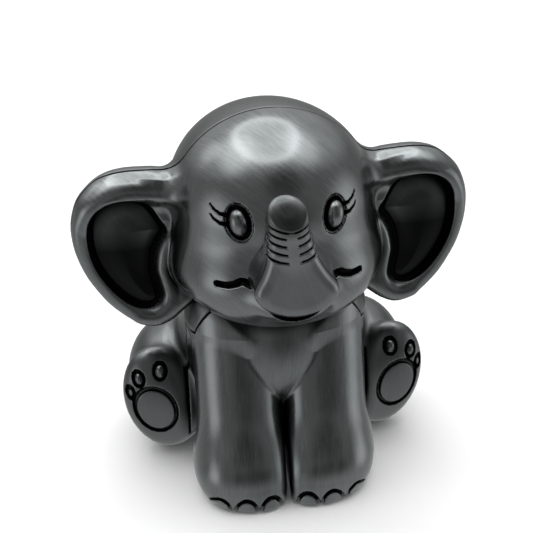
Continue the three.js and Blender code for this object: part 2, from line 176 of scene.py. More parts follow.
class Outline:
    """Signed distance to a closed outline in a plane, negative inside, read from a fine grid."""

    def __init__(self, points, smooth=6, margin=16.0, pitch=0.4):
        ring = spline_ring(points, smooth) if smooth else np.array(points, float)
        self.low, self.pitch = ring.min(0) - margin, pitch
        self.count = np.ceil((ring.max(0) + margin - self.low) / pitch).astype(int) + 1
        u, v = np.meshgrid(*(self.low[k] + pitch * np.arange(self.count[k]) for k in (0, 1)), indexing="ij")
        nearest = np.full(u.shape, 1e9)
        inside = np.zeros(u.shape, bool)
        for (au, av), (bu, bv) in zip(ring, np.roll(ring, -1, 0)):
            eu, ev = bu - au, bv - av
            t = np.clip(((u - au) * eu + (v - av) * ev) / (eu * eu + ev * ev + 1e-12), 0, 1)
            nearest = np.minimum(nearest, (u - au - eu * t) ** 2 + (v - av - ev * t) ** 2)
            if ev:
                inside ^= ((av > v) != (bv > v)) & (u < au + (v - av) * eu / ev)
        self.grid = np.where(inside, -1, 1) * np.sqrt(nearest)

    def __call__(self, u, v):
        a = np.clip((u - self.low[0]) / self.pitch, 0, self.count[0] - 1.001)
        b = np.clip((v - self.low[1]) / self.pitch, 0, self.count[1] - 1.001)
        i, j = a.astype(int), b.astype(int)
        a, b, g = a - i, b - j, self.grid
        return ((g[i, j] * (1 - a) + g[i + 1, j] * a) * (1 - b)
                + (g[i, j + 1] * (1 - a) + g[i + 1, j + 1] * a) * b)


ear_outline = Outline(EAR_OUTLINE)
ear_panel = Outline(EAR_PANEL)
underside = Outline(TRUNK_UNDERSIDE, 4)
body_front_region = Outline(BODY_FRONT, 0, margin=60.0, pitch=0.5)


def stroke(u, v, points, start, end):
    """Distance to a line in a plane whose half width runs from start to end."""
    best = np.full(u.shape, 1e9)
    spans = len(points) - 1
    for i in range(spans):
        (au, av), (bu, bv) = points[i], points[i + 1]
        eu, ev = bu - au, bv - av
        t = np.clip(((u - au) * eu + (v - av) * ev) / (eu * eu + ev * ev), 0, 1)
        width = start + (end - start) * (i + t) / spans
        best = np.minimum(best, np.sqrt((u - au - eu * t) ** 2 + (v - av - ev * t) ** 2) - width)
    return best


def local(p, d, centre, reach, change):
    """d with change(q, d) applied only to the points near centre, mirrored in X."""
    q = (np.abs(p[0]), p[1], p[2])
    near = np.ones(d.shape, bool)
    for k in range(3):
        near &= np.abs(q[k] - centre[k]) < reach
    if not near.any():
        return d
    out = d.copy()
    out[near] = change([q[k][near] for k in range(3)], d[near])
    return out


def unit(v):
    v = np.array(v, float)
    return v / np.linalg.norm(v)


# ------------------------------------------------------------------ ears
def ear_depth(x, y, z):
    """Distance behind the ear's middle plane, which leans back and out."""
    return (y - (-3.6 + 0.18 * (z - 80) + 0.04 * (x - 40))) * 0.985


def ear(p):
    x, y, z = np.abs(p[0]), p[1], p[2]
    edge, panel, depth = ear_outline(x, z), ear_panel(x, z), ear_depth(x, y, z)
    roll = EAR_RIM + EAR_RIM_SWELL * np.clip((z - 77) / 11, 0, 1) ** 1.5
    flat = 1 - EAR_TOP_FLAT * smooth((z - 68) / 18) * (depth < 0)
    rim = np.sqrt((edge + roll) ** 2 + (depth * flat) ** 2) - roll
    # the sheet inside the rim: it dips towards the panel, except in the corner beside the head
    corner = np.clip((41 - x) / 8, 0, 1) * np.clip((z - 75) / 5, 0, 1)
    outside = np.clip((panel + 0.4) / 0.8, 0, 1)
    dip = 1.5 * np.clip(1 - panel / 4.5, 0, 1) * (1 - corner)
    front = 4.0 - outside * (1.6 + dip - 1.0 * corner)
    sheet = meet(edge + 2.2, np.maximum(-depth - front, depth - 2.5), 1.0)
    # a fold that runs down the inner side of the panel
    past = np.maximum(np.maximum(x - 40, z - 76), 0)
    fold = np.sqrt((panel - 3.0) ** 2 + (depth + 1.2) ** 2 + past ** 2) - 2.0
    d = join(join(rim, sheet, 1.6 + 3 * corner), fold, 1.2)
    # the panel's crowned floor, and the trench round it
    swell = 1 - np.clip(-panel / 9, 0, 1)
    floor_depth = 0.7 + 2.2 * (1 - swell * swell)
    d = carve(d, np.maximum(panel, depth + floor_depth), 0.5)
    trench = np.maximum(np.abs(panel - EAR_TRENCH) - EAR_TRENCH_HALF, depth + 1.0)
    return carve(d, trench, 0.5)


# ------------------------------------------------------------------ head
EYE = (13.3, -28.9, 87.4)
EYE_OUT = unit((0.36, -0.92, 0.12))
EYE_TILT = math.radians(-15)
EYE_SIDE = unit(np.cross((0, 0, 1), EYE_OUT))
EYE_UP = np.cross(EYE_OUT, EYE_SIDE)
EYE_U = EYE_SIDE * math.cos(EYE_TILT) + EYE_UP * math.sin(EYE_TILT)
EYE_V = -EYE_SIDE * math.sin(EYE_TILT) + EYE_UP * math.cos(EYE_TILT)
LASHES = (
    ((3.1, 2.6), (4.6, 3.2), (6.2, 4.6), (7.2, 6.2)),
    ((3.6, 0.2), (5.2, 0.7), (6.8, 2.1), (7.7, 3.6)),
)


def skull(p):
    deep = np.where(p[1] > -2, (p[1] + 2) * BACK_OF_SKULL - 2, p[1])
    cranium = ellipsoid((p[0], deep, p[2]), *CRANIUM)
    return join(join(cranium, ellipsoid(p, *CHEEKS), 7), ellipsoid(p, *JAW), 5)


def muzzle(p):
    """The skull with its lower lip, and the opening between the lip and the trunk."""
    d = join(skull(p), ellipsoid(p, *LIP), 4.5)
    reach = 2.9 * np.sqrt(np.clip(1 - (p[0] / 7.4) ** 2, 0, 1))
    smile = np.maximum(np.maximum(underside(np.abs(p[0]), p[2]) - reach, p[1] + 28), p[2] - 70)
    return carve(d, meet(smile, -(d + 2.4), 0.4), 0.5)


def eye(q, d):
    """A stepped oval socket with a ball in it, and two lashes."""
    r = [q[k] - EYE[k] for k in range(3)]
    a, b, h = (r[0] * n[0] + r[1] * n[1] + r[2] * n[2] for n in (EYE_U, EYE_V, EYE_OUT))
    socket = (np.sqrt((a / 3.4) ** 2 + (b / 4.7) ** 2) - 1) * 3.4
    step = (np.sqrt((a / 4.1) ** 2 + (b / 5.4) ** 2) - 1) * 4.1
    d = carve(d, meet(step, -(d + 0.35), 0.2), 0.3)
    d = carve(d, meet(socket, -(d + 1.5), 0.3), 0.35)
    ball = np.sqrt((a / 2.6) ** 2 + (b / 3.85) ** 2 + ((h + 1.2) / 2.9) ** 2) - 1
    d = np.minimum(d, ball * 2.4)
    for line in LASHES:
        groove = stroke(a, b, line, 0.62, 0.1)
        d = carve(d, meet(groove, -(d + 0.9), 0.2), 0.25)
    return d


MOUTH = ((11.2, 71.3), (12.4, 71.9), (13.5, 72.0), (15, 71.2), (17, 70.5), (19.5, 70.4))


def mouth_line(x, z):
    return stroke(x, z, MOUTH, 1.05, 0.85)


def mouth(q, d):
    line = mouth_line(q[0], q[2])
    front = np.maximum(line, q[1] + 20)
    return carve(d, meet(front, -(d + 2.0), 0.3), 0.4)


def head(p):
    d = local(p, muzzle(p), (15, -33, 69), 14, mouth)
    d = local(p, d, (15, -27, 88), 12, eye)
    return join(d, ear(p), 0.8 + 3.4 * np.clip((p[2] - 80) / 8, 0, 1))


def head_seam(p):
    """Distance behind the plane where the two head castings meet."""
    slant = math.hypot(1, HEAD_SEAM_SLOPE)
    swing = CROWN_SWING * smooth((p[2] - 91) / 7)
    return (p[1] - HEAD_SEAM_Y - HEAD_SEAM_SLOPE * (p[2] - HEAD_SEAM_Z) + swing) / slant


def well(p, x, y, radius):
    """Distance to an upright round hole."""
    return np.hypot(p[0] - x, p[1] - y) - radius


def head_shell(p):
    hollow = np.minimum(skull(p) + WALL, np.maximum(well(p, 0, NECK_Y, NECK_HOLE), p[2] - 66))
    return np.maximum(head(p), -hollow)


def head_front(p):
    d = meet(head_shell(p), head_seam(p) + GAP / 2, SEAM_ROUNDING)
    trunk_hole = np.maximum(np.hypot(p[0], p[2] - SPIGOT_Z) - SPIGOT_HOLE, p[1] + 20)
    return np.maximum(d, -trunk_hole)


def head_back(p):
    d = meet(head_shell(p), GAP / 2 - head_seam(p), SEAM_ROUNDING)
    slot = np.maximum(np.abs(p[0]) - SLOT_HALF_WIDTH, np.abs(p[2] - SLOT_Z) - SLOT_HALF_HEIGHT)
    return carve(d, np.maximum(slot, 5 - p[1]), 0.7)


# ------------------------------------------------------------------ trunk
def lean(p):
    """The trunk leans a little to one side."""
    return (p[0] + TRUNK_LEAN * np.maximum(p[2] - TRUNK_LEAN_Z, 0), p[1], p[2])


def wrinkles(p, d):
    """Short creases across both sides of the trunk; the top one runs right across."""
    across, y, z = np.abs(p[0]), p[1], p[2]
    for k in range(WRINKLES):
        reach = 5.6 + 0.3 * k
        rise = WRINKLE_TOP - WRINKLE_STEP * k + 1.3 * (across / 6) ** 1.5
        start = 1.6 if k > 0 else -1.0
        past = np.maximum(np.maximum(start - across, across - reach), 0)
        width = 0.08 + 0.2 * np.clip((across - start) / 3.5, 0.2, 1)
        crease = np.maximum(np.sqrt(past ** 2 + (z - rise) ** 2) - width, y + 40)
        d = carve(d, meet(crease, -(d + 0.6), 0.2), 0.55)
    return d


def trunk(p):
    p = lean(p)
    x, y, z = np.abs(p[0]), p[1] - TRUNK_TIP[1], p[2] - TRUNK_TIP[2]
    low, bend, neck, end = TRUNK_RADII
    rise = cone(p, TRUNK_LOW, TRUNK_BEND, low, bend)
    reach = cone(p, TRUNK_BEND, TRUNK_NECK, bend, neck)
    tip = cone(p, TRUNK_NECK, TRUNK_TIP, neck, end)
    front = meet(underside(x, p[2]), np.abs(p[1] + 40.4 - 0.04 * (p[2] - 80)) - 4.3, 3.6)
    d = join(join(join(ellipsoid(p, *TRUNK_ROOT), rise, 4), join(reach, tip, 3), 3), front, 2.4)
    face = z * TIP_UP - y * TIP_OUT - 1.4
    d = meet(d, face, 3.2)
    dish = meet(np.hypot(x, y * TIP_UP + z * TIP_OUT) - NOSTRIL, -(face + 0.5), 1.6)
    return wrinkles(p, carve(d, dish, 2.0))


def trunk_piece(p):
    d = meet(trunk(p), GAP - muzzle(p), 0.6)
    spigot = np.maximum(np.hypot(p[0], p[2] - SPIGOT_Z) - SPIGOT, np.abs(p[1] + 31.8) - 6.2)
    return np.minimum(d, spigot)


# ------------------------------------------------------------------ body
def drift(p):
    """The front of the body stands a little to one side."""
    return (p[0] + LEG_SHIFT * np.clip((-p[1] - 8) / 34, 0, 1), p[1], p[2])


def legs(p):
    p = drift(p)
    q = (np.abs(p[0]), p[1], p[2])
    column = cone(q, LEG_TOP, LEG_BOTTOM, *LEG_RADII)
    axis = -7.5 - 16.5 * (46 - q[2]) / 37      # Y of the leg's middle at this height
    inside = round_box((q[0], (q[1] - axis) * 0.92, q[2]), LEG_INSIDE, LEG_INSIDE_HALF, LEG_INSIDE_EDGE)
    narrow = (q[0] - 0.6) * (1 + 0.10 * np.clip((-q[1] - 22) / 20, 0, 1)) + 0.6
    foot = round_box((narrow, q[1], q[2]), FOOT, FOOT_HALF, FOOT_EDGE)
    d = join(join(column, inside, 4), foot, 12)
    parting = np.maximum(0.45, 0.66 * (q[2] - 29.5)) - q[0]
    return meet(d, parting * 0.85, 0.9)


def front_toes(q, d):
    """Half rings round the toenails."""
    for x, width in TOES:
        nail = (np.sqrt(((q[0] - x) / width) ** 2 + (q[2] / TOE_HEIGHT) ** 2) - 1) * width
        groove = np.maximum(np.abs(nail) - 0.4, q[1] - TOE_END_Y)
        d = carve(d, meet(groove, -(d + 0.9), 0.2), 0.3)
    return d


def haunch(p):
    """Hind leg: the thigh, and the upright sole in front of it."""
    q = (np.abs(p[0]), p[1], p[2])
    centre, radii = HIND_FOOT
    x, z = q[0] - centre[0], q[2] - centre[2]
    along, across = math.cos(HIND_FOOT_TURN), math.sin(HIND_FOOT_TURN)
    turned = (x * along - z * across, q[1] - centre[1], x * across + z * along)
    return join(ellipsoid(q, *THIGH), ellipsoid(turned, (0, 0, 0), radii), 3)


# X, Z, half width, half height, lean, and the Y of the button in the middle
SOLE_PADS = (
    (37.05, 17.5, 5.9, 7.6, -0.3, None), (35.0, 29.9, 1.8, 2.3, 0, -5.1), (41.4, 27.7, 1.5, 2.1, 0, -4.4),
    (44.0, 22.8, 1.0, 1.8, 0, None),
)


def sole_pads(q, d):
    for x, z, a, b, turn, button in SOLE_PADS:
        u = (q[0] - x) * math.cos(turn) + (q[2] - z) * math.sin(turn)
        v = -(q[0] - x) * math.sin(turn) + (q[2] - z) * math.cos(turn)
        ring = (np.sqrt((u / a) ** 2 + (v / b) ** 2) - 1) * min(a, b)
        groove = np.maximum(np.abs(ring) - (0.55 if a > 2 else 0.42), q[1] - (4 if a > 2 else -1.5))
        d = carve(d, meet(groove, -(d + 0.9), 0.2), 0.3)
        if button is not None:
            d = join(d, ellipsoid(q, (x, button + 0.4, z), (a - 0.45, 1.5, b - 0.45)), 0.4)
    return d


def body_plain(p):
    back = join(ellipsoid(p, *BACK), ellipsoid(p, *RUMP), 8)
    chest = join(join(back, ellipsoid(drift(p), *CHEST), 5), ellipsoid(drift(p), *CHEST_PANEL), 3)
    blend = 0.8 + 6 * np.clip((p[2] - 42) / 6, 0, 1)
    d = join(join(chest, legs(p), blend), haunch(p), 2.5)
    return meet(d, SOLE_Z - p[2], 1.0)


def body_shell(p):
    plain = body_plain(p)
    seat = GAP - head(p)
    d = local(drift(p), plain, (12, -36, 4), 13, front_toes)
    d = local(p, d, (36, -4, 18), 19, sole_pads)
    d = meet(d, seat, 0.8)
    hollow = np.maximum(meet(plain + WALL, seat + WALL, 6), FLOOR_Z - p[2])
    hollow = np.minimum(hollow, np.maximum(well(p, 0, NECK_Y, NECK_HOLE), 36 - p[2]))
    hollow = np.minimum(hollow, np.maximum(well(p, 0, BASE_Y, BASE_RECESS), p[2] - LEDGE_Z))
    hollow = np.minimum(hollow, np.maximum(well(p, 0, BASE_Y, BASE_LEDGE), p[2] - 12))
    for turn in (45, 135, 225, 315):
        x, y = (SCREW_RING * f(math.radians(turn)) for f in (math.cos, math.sin))
        hollow = np.minimum(hollow, np.maximum(well(p, x, BASE_Y + y, SCREW_HOLE), p[2] - SCREW_DEPTH))
    for x, y in PAD_SPOTS:
        pocket = np.hypot(np.abs(p[0]) - x, p[1] - y) - PAD_POCKET
        hollow = np.minimum(hollow, np.maximum(pocket, p[2] - PAD_DEPTH))
    return np.maximum(d, -hollow)


def body_seam(p):
    """Negative in the front casting; its sides widen towards the feet."""
    half = CHEST_HALF + 6 * np.clip((-p[1] - 9) / 4, 0, 1)
    return np.maximum(body_front_region(p[1], p[2]), (np.abs(p[0]) - half) * 0.55)


def body_front(p):
    return meet(body_shell(p), body_seam(p) + GAP / 2, SEAM_ROUNDING)


def body_back(p):
    return meet(body_shell(p), GAP / 2 - body_seam(p), SEAM_ROUNDING)


# ------------------------------------------------------------------ distance function to mesh
def slope_of(field, p, e=0.04):
    """Gradient from four samples at the corners of a small tetrahedron."""
    g = np.zeros((3, len(p[0])))
    for sx, sy, sz in ((1, 1, 1), (1, -1, -1), (-1, 1, -1), (-1, -1, 1)):
        d = field((p[0] + sx * e, p[1] + sy * e, p[2] + sz * e))
        g += np.array([[sx], [sy], [sz]]) * d
    return g / (4 * e)


def sample(field, low, high, voxel):
    """Voxel values near the surface only: whole blocks far from it get the sign alone."""
    side = 6
    blocks = np.ceil((np.array(high) - low) / (voxel * side)).astype(int)
    centres = [low[k] + voxel * side * (np.arange(blocks[k]) + 0.5) for k in range(3)]
    middle = field([a.ravel() for a in np.meshgrid(*centres, indexing="ij")]).reshape(blocks)
    band = 3 * voxel
    dense = np.empty((blocks[0], side, blocks[1], side, blocks[2], side), F32)
    dense[:] = np.where(middle < 0, -band, band)[:, None, :, None, :, None]
    active = np.argwhere(np.abs(middle) < voxel * side * 1.15 + band)
    offset = voxel * (np.arange(side) + 0.5)
    for chunk in np.array_split(active, max(1, len(active) // 4000)):
        grids = [low[k] + voxel * side * chunk[:, k] for k in range(3)]
        x = grids[0][:, None, None, None] + offset[None, :, None, None]
        y = grids[1][:, None, None, None] + offset[None, None, :, None]
        z = grids[2][:, None, None, None] + offset[None, None, None, :]
        shape = (len(chunk), side, side, side)
        d = field([np.broadcast_to(a, shape).ravel() for a in (x, y, z)]).reshape(shape)
        dense[chunk[:, 0], :, chunk[:, 1], :, chunk[:, 2], :] = np.clip(d, -band, band)
    return dense.reshape(blocks * side)


def to_mesh(name, field, low, high, voxel, shade):
    low = np.array(low, float)
    grid = openvdb.FloatGrid(3 * voxel)
    grid.copyFromArray(sample(field, low, high, voxel))
    points, triangles, quads = grid.convertToPolygons(isovalue=0.0, adaptivity=0.0)
    p = (points.astype(float) + 0.5) * voxel + low
    for _ in range(2):
        d = field(p.T)
        g = slope_of(field, p.T)
        step = np.clip(-d / np.maximum((g * g).sum(0), 0.25), -voxel / 2, voxel / 2)
        p += (g * step).T
    n = slope_of(field, p.T).T
    n /= np.linalg.norm(n, axis=1)[:, None] + 1e-9
    mesh = bpy.data.meshes.new(name)
    world = (p - (0, MIDDLE_Y, 0)) * MM
    corners = np.concatenate([quads.ravel(), triangles.ravel()]).astype(np.int32)
    counts = np.concatenate([np.full(len(quads), 4), np.full(len(triangles), 3)])
    mesh.vertices.add(len(p))
    mesh.loops.add(len(corners))
    mesh.polygons.add(len(counts))
    mesh.vertices.foreach_set("co", world.astype(F32).ravel())
    mesh.loops.foreach_set("vertex_index", corners)
    starts = np.concatenate([[0], np.cumsum(counts)[:-1]]).astype(np.int32)
    mesh.polygons.foreach_set("loop_start", starts)
    mesh.polygons.foreach_set("use_smooth", np.ones(len(counts), bool))
    mesh.update(calc_edges=True)
    mesh.validate()
    if mesh.polygons[0].normal.dot(Vector(n[mesh.polygons[0].vertices[0]])) < 0:
        mesh.flip_normals()
    mesh.normals_split_custom_set_from_vertices(n.tolist())
    for key, value in shade(p.T, n.T).items():
        layer = mesh.attributes.new(key, "FLOAT", "POINT")
        layer.data.foreach_set("value", value.astype(F32))
    obj = bpy.data.objects.new(name, mesh)
    bpy.context.collection.objects.link(obj)
    return obj


# FINE reaches find the grooves that keep the black patina; WIDE reaches find wide creases and places under
# neighbouring parts, which are darkened as painted shade
FINE, WIDE = (0.6, 1.2, 2.0), (4.0, 8.0)


def recess(field, p, n, reaches):
    """0 on open metal, 1 deep in a groove: how much nearer the metal is than expected at some heights."""
    total = np.zeros(len(p[0]))
    for h in reaches:
        total += np.clip(1 - field([p[k] + n[k] * h for k in range(3)]) / h, 0, 1)
    return np.clip(total / len(reaches), 0, 1)


def whole(p):
    return np.minimum(np.minimum(body_plain(p), head(p)), trunk(p))


def shade_head(p, n):
    x, z = np.abs(p[0]), p[2]
    panel = ear_panel(x, z)
    front = np.clip(-ear_depth(x, p[1], z), 0, 1)
    # the ear panels are darkened: partly their own darker finish, partly a painted dark reflection that is
    # black lower down and lighter at the top, where the panel catches the light from above
    dark = np.clip((0.3 - panel) / 0.6, 0, 1) * front * (0.2 + 0.8 * np.clip((86 - z) / 14, 0, 1))
    trench = np.clip((0.85 - np.abs(panel - EAR_TRENCH)) / 0.3, 0, 1) * front
    mouth_floor = np.clip((0.15 - mouth_line(x, z)) / 0.3, 0, 1) * (p[1] < -20)
    groove = np.maximum(recess(head, p, n, FINE), np.maximum(trench, mouth_floor))
    # crease: painted shade in the head's wide creases and under its overhangs
    return {"groove": groove, "crease": recess(head, p, n, WIDE), "panel": dark}


def shade_body(p, n):
    near = body_shell(p)
    groove = recess(body_shell, p, n, FINE) * (near < 1)
    # crease: painted shade in wide creases and where the head, legs and haunches hang over the body
    return {"groove": groove, "crease": recess(whole, p, n, WIDE), "panel": np.zeros(len(p[0]))}


def shade_trunk(p, n):
    groove = recess(trunk, p, n, FINE)
    x, y, z = lean(p)
    # the dish at the tip of the trunk is painted darker: painted shade, carried in the panel attribute
    off = np.hypot(x, (y - TRUNK_TIP[1]) * TIP_UP + (z - TRUNK_TIP[2] + 1.2) * TIP_OUT)
    nostril = 0.6 * np.clip((5.6 - off) / 1.2, 0, 1) * (y < -40)
    # the trunk gets only a weak share of the painted shade in its creases
    return {"groove": groove * 0.7, "crease": recess(whole, p, n, WIDE) * 0.3, "panel": nostril}


# ------------------------------------------------------------------ materials
class Nodes:
    """A small helper that adds shader nodes and links them."""

    def __init__(self, name):
        self.material = bpy.data.materials.new(name)
        self.material.use_nodes = True
        self.tree = self.material.node_tree
        self.shader = self.tree.nodes["Principled BSDF"]

    def add(self, kind, **settings):
        node = self.tree.nodes.new(kind)
        for key, value in settings.items():
            if hasattr(node, key):
                setattr(node, key, value)
            else:
                node.inputs[key].default_value = value
        return node

    def link(self, a, b):
        self.tree.links.new(a, b)

    def coords(self, scale, turn=(0, 0, 0)):
        where = self.add("ShaderNodeTexCoord")
        mapping = self.add("ShaderNodeMapping")
        mapping.vector_type = "TEXTURE"
        mapping.inputs["Scale"].default_value = [1 / v for v in scale]
        mapping.inputs["Rotation"].default_value = [math.radians(v) for v in turn]
        self.link(where.outputs["Object"], mapping.inputs["Vector"])
        return mapping.outputs["Vector"]

    def noise(self, vector, scale, detail=3.0, rough=0.55):
        node = self.add("ShaderNodeTexNoise", Scale=scale, Detail=detail, Roughness=rough)
        self.link(vector, node.inputs["Vector"])
        return node.outputs["Fac"]

    def remap(self, value, low, high, to_low, to_high):
        node = self.add("ShaderNodeMapRange")
        for key, number in (("From Min", low), ("From Max", high), ("To Min", to_low), ("To Max", to_high)):
            node.inputs[key].default_value = number
        self.link(value, node.inputs["Value"])
        return node.outputs["Result"]

    def math(self, operation, a, b):
        node = self.add("ShaderNodeMath", operation=operation)
        for slot, value in ((0, a), (1, b)):
            if isinstance(value, (int, float)):
                node.inputs[slot].default_value = value
            else:
                self.link(value, node.inputs[slot])
        return node.outputs[0]

    def mix(self, fac, a, b):
        node = self.add("ShaderNodeMix", data_type="RGBA")
        for index, value in ((0, fac), (6, a), (7, b)):
            if isinstance(value, (int, float, tuple)):
                node.inputs[index].default_value = value
            else:
                self.link(value, node.inputs[index])
        return node.outputs[2]

    def lerp(self, fac, a, b):
        return self.math("ADD", self.math("MULTIPLY", a, self.math("SUBTRACT", 1.0, fac)),
                         self.math("MULTIPLY", b, fac))

    def attribute(self, name):
        return self.add("ShaderNodeAttribute", attribute_name=name).outputs["Fac"]


BLACK = (0.006, 0.006, 0.006, 1)


def pewter(name, light, dark, turn, rough=0.2, brush=1.0):
    """Brushed antique pewter: fine streaks, cloudy patina, black left in the grooves, painted shade in wide
    creases, and darkened panels from the panel attribute.
    """
    n = Nodes(name)
    across = n.coords((1.0, 0.11, 0.11), turn)
    along = n.coords((0.11, 1.0, 0.11), turn)
    facing = n.add("ShaderNodeSeparateXYZ")
    n.link(n.add("ShaderNodeTexCoord").outputs["Normal"], facing.inputs[0])
    sideways = n.remap(n.math("ABSOLUTE", facing.outputs["X"], 0), 0.6, 0.9, 0, 1)
    fine = n.lerp(sideways, n.noise(across, 1500, 3.0, 0.7), n.noise(along, 1500, 3.0, 0.7))
    broad = n.lerp(sideways, n.noise(across, 260, 3.0), n.noise(along, 260, 3.0))
    cloud = n.noise(n.coords((1, 1, 1)), 38, 4.0, 0.6)
    streak = n.math("ADD", n.math("MULTIPLY", fine, 0.75), n.math("MULTIPLY", broad, 0.25))
    tone = n.math("ADD", n.remap(streak, 0.3, 0.7, 0.5 - 0.25 * brush, 0.5 + 0.25 * brush),
                  n.remap(cloud, 0.3, 0.7, -0.22, 0.22))
    metal = n.mix(tone, dark, light)
    groove = n.remap(n.attribute("groove"), 0.22, 0.55, 0, 1)
    # groove is the black patina left in grooves; crease is painted shade in wide creases and under
    # neighbouring parts
    crease = n.remap(n.attribute("crease"), 0.25, 0.9, 0, 0.8)
    patina_and_painted_shade = n.math("MAXIMUM", groove, crease)
    metal = n.mix(patina_and_painted_shade, metal, BLACK)
    # panel darkens the ear panels (their darker finish together with a painted dark reflection) and the
    # dish at the trunk's tip (painted shade)
    panel = n.attribute("panel")
    metal = n.mix(n.math("MULTIPLY", panel, 0.95), metal, BLACK)
    n.link(metal, n.shader.inputs["Base Color"])
    n.shader.inputs["Metallic"].default_value = 1.0
    gloss = n.math("ADD", n.remap(streak, 0.3, 0.7, rough - 0.05 * brush, rough + 0.06 * brush),
                   n.math("MULTIPLY", patina_and_painted_shade, 0.25))
    n.link(gloss, n.shader.inputs["Roughness"])
    bump = n.add("ShaderNodeBump", Strength=0.25 * brush, Distance=0.00003)
    n.link(streak, bump.inputs["Height"])
    n.link(bump.outputs["Normal"], n.shader.inputs["Normal"])
    return n.material


def plain(name, colour, rough, metallic, grain=900, depth=0.00004):
    n = Nodes(name)
    spots = n.noise(n.coords((1, 1, 1)), grain, 4.0)
    darker = tuple(c * 0.6 for c in colour[:3]) + (1,)
    n.link(n.mix(n.remap(spots, 0.3, 0.7, 0, 1), darker, colour), n.shader.inputs["Base Color"])
    n.shader.inputs["Metallic"].default_value = metallic
    n.link(n.remap(spots, 0.3, 0.7, rough - 0.06, rough + 0.08), n.shader.inputs["Roughness"])
    bump = n.add("ShaderNodeBump", Strength=0.3, Distance=depth)
    n.link(spots, bump.inputs["Height"])
    n.link(bump.outputs["Normal"], n.shader.inputs["Normal"])
    return n.material


LIGHT, DARK = (0.285, 0.30, 0.30, 1), (0.15, 0.162, 0.165, 1)
# the rear castings have a rougher, duller finish, and their colours are darker copies of the front's as
# painted shade over the back, the shoulders and the hind legs
DULL_SHADED_LIGHT, DULL_SHADED_DARK = (0.20, 0.21, 0.21, 1), (0.125, 0.135, 0.138, 1)
front_metal = pewter("pewter_front", LIGHT, DARK, (0, 5, 0), 0.24)
head_metal = pewter("pewter_face", LIGHT, DARK, (0, -38, 25), 0.22)
back_metal = pewter("pewter_back", DULL_SHADED_LIGHT, DULL_SHADED_DARK, (0, 0, 0), 0.3, 0.7)
trunk_metal = pewter("pewter_trunk", LIGHT, DARK, (0, -20, 10), 0.26, 0.6)
zinc = plain("screw_zinc", (0.55, 0.55, 0.56, 1), 0.35, 1)
rubber = plain("rubber", (0.02, 0.02, 0.02, 1), 0.8, 0, 1500)
dark_plate = plain("dark_plate", (0.12, 0.12, 0.125, 1), 0.42, 1)

# ------------------------------------------------------------------ pieces
VOXEL = 0.4
# name, shape, lowest and highest corner, CAD node, slot, material, shading
PIECES = (
    ("head_front", head_front, (-59, -45, 46), (59, 4, 112),
     "head_front_shell", "pewter_front", head_metal, shade_head),
    ("head_back", head_back, (-59, -12, 46), (59, 38, 112),
     "head_back_shell", "pewter_back", back_metal, shade_head),
    ("trunk", trunk_piece, (-15, -52, 60), (15, -22, 104),
     "trunk", "pewter_trunk", trunk_metal, shade_trunk),
    ("body_front", body_front, (-32, -44, -1), (32, -1, 62),
     "body_front_shell", "pewter_front", front_metal, shade_body),
    ("body_back", body_back, (-50, -26, -1), (50, 40, 70),
     "body_back_shell", "pewter_back", back_metal, shade_body),
)
for name, field, low, high, node, slot, material, shade in PIECES:
    piece = to_mesh(name, field, low, high, VOXEL, shade)
    piece.data.materials.append(material)
    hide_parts(node)
    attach(piece, "bank")

for node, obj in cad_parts.items():
    if node.startswith("base_screw"):
        coat = zinc
    elif node.startswith("foot_pad") or node == "stopper_seal":
        coat = rubber
    elif node in ("stopper", "base_plate", "neck_collar"):
        coat = dark_plate
    else:
        continue
    obj.data.materials.clear()
    obj.data.materials.append(coat)

# ------------------------------------------------------------------ floor, camera, light
ROOM_LIGHT, ROOM_FRONT, FLOOR_LIGHT = 0.3, 0.25, 0.55
# azimuth, elevation, reach in degrees, and what is left of the room's light in the middle
DARK_PATCHES = ((10, 46, 26, 0.35), (12, 0, 34, 0.45), (15, 62, 16, 0.4))
# azimuth, elevation, half width and height as tangents, softness of the edge, brightness in the middle and
# at the rim
SOFT_BOXES = (
    (180, 73, 0.46, 0.60, 0.06, 1.0, 3.1),
    (180, 62, 1.5, 1.15, 0.45, 0.55, 0.55),
    (-128, 37, 0.17, 0.17, 0.5, 0.9, 0.9),
    (-106, 60, 0.34, 0.26, 0.6, 1.3, 1.3),
    (106, 62, 0.32, 0.24, 0.6, 1.1, 1.1),
    (-72, -2, 0.28, 0.32, 0.8, 0.85, 0.85),
    (82, -2, 0.30, 0.32, 0.8, 0.8, 0.8),
)
PIVOT = Vector((0, (-5 - MIDDLE_Y) * MM, 0.055))
AZIMUTH, ELEVATION, ROLL = math.radians(-9.3), math.radians(28.2), math.radians(1.45)
DISTANCE, SENSOR = 0.420, 36.0
PICTURE_WIDTH = 155.394 * MM       # what the picture takes in from side to side, at the pivot
AIM_RIGHT, AIM_UP = -2.332 * MM, 5.394 * MM      # from the pivot to the middle of the picture
back = Vector((math.sin(AZIMUTH) * math.cos(ELEVATION), -math.cos(AZIMUTH) * math.cos(ELEVATION),
               math.sin(ELEVATION)))
right = Vector((math.cos(AZIMUTH), math.sin(AZIMUTH), 0))
up = back.cross(right)
right, up = right * math.cos(ROLL) - up * math.sin(ROLL), right * math.sin(ROLL) + up * math.cos(ROLL)
eye_point = PIVOT + back * DISTANCE
aim = PIVOT + right * AIM_RIGHT + up * AIM_UP
back = (eye_point - aim).normalized()
right = up.cross(back).normalized()
up = back.cross(right)
camera_data = bpy.data.cameras.new("camera")
camera_data.sensor_width = SENSOR
camera_data.lens = SENSOR * DISTANCE / PICTURE_WIDTH
camera_data.clip_start = 0.01
camera = bpy.data.objects.new("camera", camera_data)
camera.matrix_world = Matrix((
    (right.x, up.x, back.x, eye_point.x),
    (right.y, up.y, back.y, eye_point.y),
    (right.z, up.z, back.z, eye_point.z),
    (0, 0, 0, 1)))
bpy.context.collection.objects.link(camera)
bpy.context.scene.camera = camera


